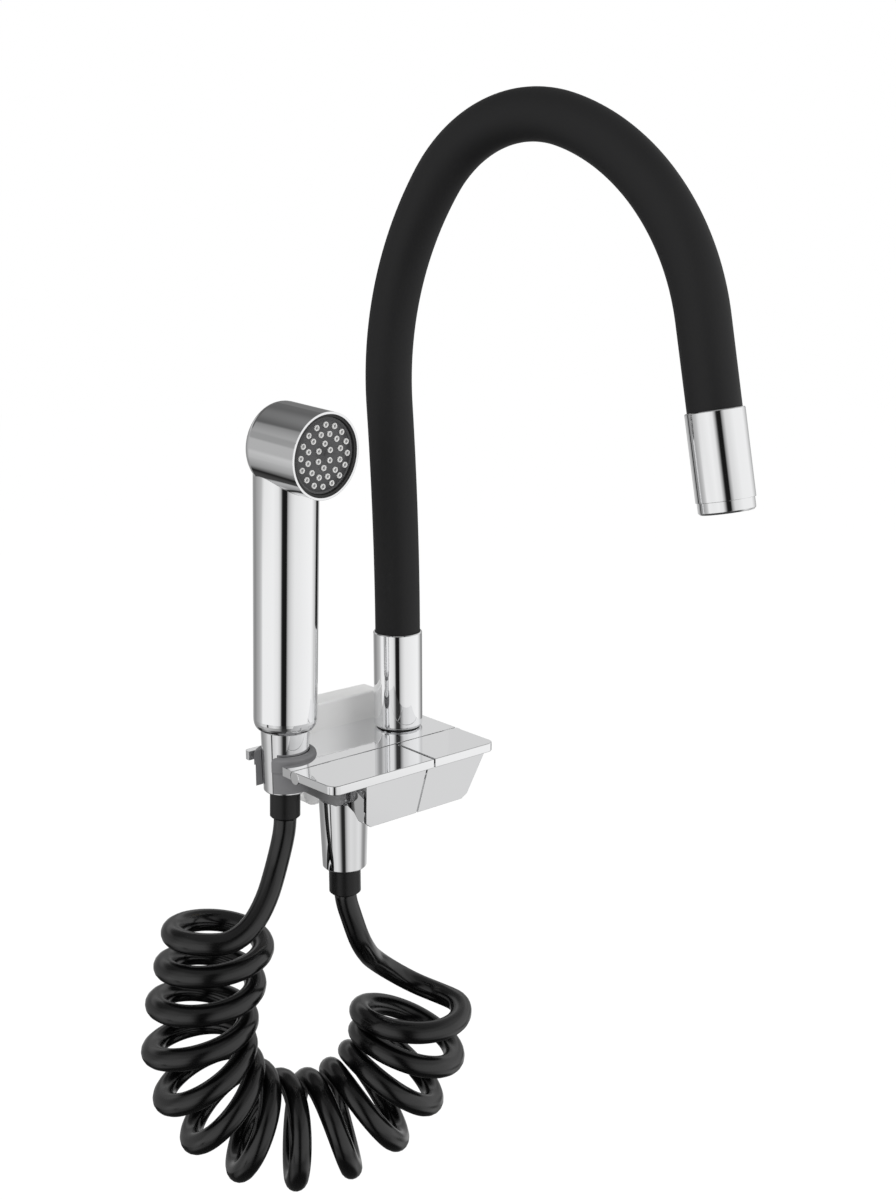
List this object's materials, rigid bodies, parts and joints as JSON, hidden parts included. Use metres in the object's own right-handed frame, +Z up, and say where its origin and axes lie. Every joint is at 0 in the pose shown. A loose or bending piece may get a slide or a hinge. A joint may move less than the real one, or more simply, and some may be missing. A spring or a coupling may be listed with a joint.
{
  "type": "side spray kitchen faucet",
  "caption": "Wall-mounted kitchen tap with flexible gooseneck spout, two lifting deck levers and a hand spray on a curly hose held in a side clip.",
  "frame": {"origin": "on the wall face, on the axis of the threaded water inlet", "axes": "+Z up, +Y into the wall, +X along the wall to the right of someone facing it"},
  "size_m": [0.1733, 0.2386, 0.5245],
  "materials": {
    "chrome": "mirror-bright chrome plating",
    "chromed_plastic": "chrome-plated moulded plastic",
    "brass": "bare turned brass",
    "steel": "stainless steel",
    "black_silicone": "matte black silicone",
    "hose_black": "satin black polyurethane tube",
    "black_rubber": "black rubber or elastomer",
    "grey_plastic": "mid grey moulded plastic",
    "dark_face": "dark grey moulded plastic",
    "nozzle_white": "pale soft nozzle rubber",
    "white_plastic": "white plastic"
  },
  "bodies": {
    "tap_body": {"wall_flange": "chrome", "inlet_shank": "brass", "inlet_filter": "steel", "body_casting": "chrome", "rear_deck": "chrome", "deck_screws": "steel", "hinge_pin": "steel", "deck_gasket": "black_rubber", "spout_seat": "brass", "spout_keeper_screw": "steel", "hose_outlet": "chrome", "outlet_check_valve": "white_plastic", "outlet_crimp": "black_rubber", "holder_clip": "grey_plastic", "clip_screws": "steel", "curly_hose": "hose_black", "spray_valve_cartridge": "brass", "spout_valve_cartridge": "brass"},
    "spray_lever": {"spray_lever": "chrome", "spray_drive_pin": "steel"},
    "spout_lever": {"spout_lever": "chrome", "spout_drive_pin": "steel"},
    "spray_plunger": {"spray_valve_plunger": "brass", "spray_valve_seal": "black_rubber", "spray_valve_washer": "black_rubber"},
    "spout_plunger": {"spout_valve_plunger": "brass", "spout_valve_seal": "black_rubber", "spout_valve_washer": "black_rubber"},
    "spout": {"base_ferrule": "chrome", "spout_o_ring": "black_rubber", "glide_ring": "black_rubber", "spout_sleeve": "black_silicone", "neck_core": "steel", "neck_tube": "white_plastic", "outlet_ferrule": "chrome", "aerator_housing": "white_plastic", "aerator_insert": "white_plastic", "aerator_washer": "black_rubber"},
    "handset": {"handset_shell": "chromed_plastic", "face_ring": "black_rubber", "spray_face": "dark_face", "spray_nozzles": "nozzle_white", "handset_waterway": "white_plastic", "handset_check_valve": "white_plastic", "handset_crimp": "black_rubber"}
  },
  "joints": [
    {"name": "spray_lever_lift", "type": "hinge", "parent": "tap_body", "child": "spray_lever", "pos_m": [0, -0.0535, 0.0092], "axis": [-1, 0, 0], "range_deg": [0, 25]},
    {"name": "spout_lever_lift", "type": "hinge", "parent": "tap_body", "child": "spout_lever", "pos_m": [0, -0.0535, 0.0092], "axis": [-1, 0, 0], "range_deg": [0, 25]},
    {"name": "spray_valve_slide", "type": "slide", "parent": "tap_body", "child": "spray_plunger", "axis": [0, -1, 0], "range_m": [0, 0.0061]},
    {"name": "spout_valve_slide", "type": "slide", "parent": "tap_body", "child": "spout_plunger", "axis": [0, -1, 0], "range_m": [0, 0.0061]},
    {"name": "spout_swivel", "type": "hinge", "parent": "tap_body", "child": "spout", "pos_m": [0.0192, -0.03, 0.012], "axis": [0, 0, 1], "range_deg": [-97.7, 82.3]},
    {"name": "handset_lift", "type": "slide", "parent": "tap_body", "child": "handset", "axis": [0.024, -0.0151, 0.9996], "range_m": [0, 0.06], "deforming": ["curly_hose"]}
  ],
  "couplings": [
    {"joint": "spray_valve_slide", "follows": "spray_lever_lift", "m_per_rad": 0.013754},
    {"joint": "spout_valve_slide", "follows": "spout_lever_lift", "m_per_rad": 0.013754}
  ]
}
